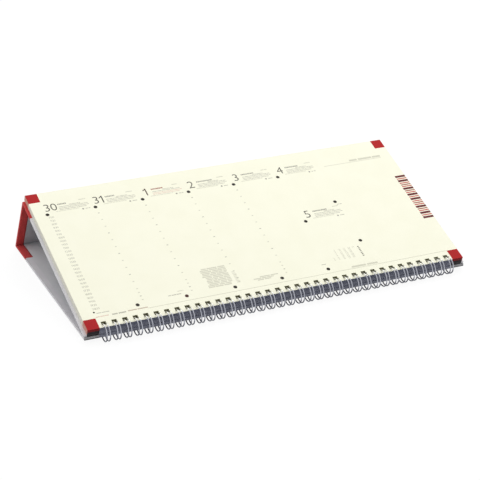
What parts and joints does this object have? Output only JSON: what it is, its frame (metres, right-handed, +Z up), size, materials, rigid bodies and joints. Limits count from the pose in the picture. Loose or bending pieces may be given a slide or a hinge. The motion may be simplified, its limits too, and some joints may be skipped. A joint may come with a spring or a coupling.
{
  "type": "desk calendar",
  "caption": "Sloping weekly desk calendar: punched leaves turn on a twin-loop wire along the front of a folded triangular board stand with a cloth spine.",
  "frame": {"origin": "centre of the bounding box on the desk surface", "axes": "+X along the wire, +Y from the wire to the back, +Z up"},
  "size_m": [0.329, 0.1784, 0.0571],
  "materials": {
    "greyboard": "matt",
    "covering_paper": "matt",
    "lining_paper": "matt",
    "red_book_cloth": "woven, matt",
    "binding_wire": "coated silver",
    "leaf_paper": "uncoated, matt"
  },
  "bodies": {
    "stand": {"base_board": "greyboard", "back_board": "greyboard", "support_board": "greyboard", "base_cover_paper": "covering_paper", "support_cover_paper": "covering_paper", "spine_cloth": "red_book_cloth", "stand_lining": "lining_paper", "wire_comb": "binding_wire", "leaf_pack_01": "leaf_paper", "leaf_pack_02": "leaf_paper", "leaf_pack_03": "leaf_paper", "leaf_pack_04": "leaf_paper", "leaf_pack_05": "leaf_paper", "leaf_pack_06": "leaf_paper", "leaf_pack_07": "leaf_paper", "leaf_pack_08": "leaf_paper", "leaf_pack_09": "leaf_paper", "leaf_pack_10": "leaf_paper", "leaf_pack_11": "leaf_paper", "leaf_pack_12": "leaf_paper"},
    "week_leaf_01": {"week_leaf_01": "leaf_paper"},
    "week_leaf_02": {"week_leaf_02": "leaf_paper"},
    "week_leaf_03": {"week_leaf_03": "leaf_paper"},
    "week_leaf_04": {"week_leaf_04": "leaf_paper"},
    "week_leaf_05": {"week_leaf_05": "leaf_paper"}
  },
  "joints": [
    {"name": "week_leaf_01_turn", "type": "hinge", "parent": "stand", "child": "week_leaf_01", "pos_m": [0, -0.082, 0.00725], "axis": [1, 0, 0], "range_deg": [0, 163]},
    {"name": "week_leaf_02_turn", "type": "hinge", "parent": "stand", "child": "week_leaf_02", "pos_m": [0, -0.082, 0.00725], "axis": [1, 0, 0], "range_deg": [0, 163]},
    {"name": "week_leaf_03_turn", "type": "hinge", "parent": "stand", "child": "week_leaf_03", "pos_m": [0, -0.082, 0.00725], "axis": [1, 0, 0], "range_deg": [0, 163]},
    {"name": "week_leaf_04_turn", "type": "hinge", "parent": "stand", "child": "week_leaf_04", "pos_m": [0, -0.082, 0.00725], "axis": [1, 0, 0], "range_deg": [0, 163]},
    {"name": "week_leaf_05_turn", "type": "hinge", "parent": "stand", "child": "week_leaf_05", "pos_m": [0, -0.082, 0.00725], "axis": [1, 0, 0], "range_deg": [0, 163]}
  ]
}
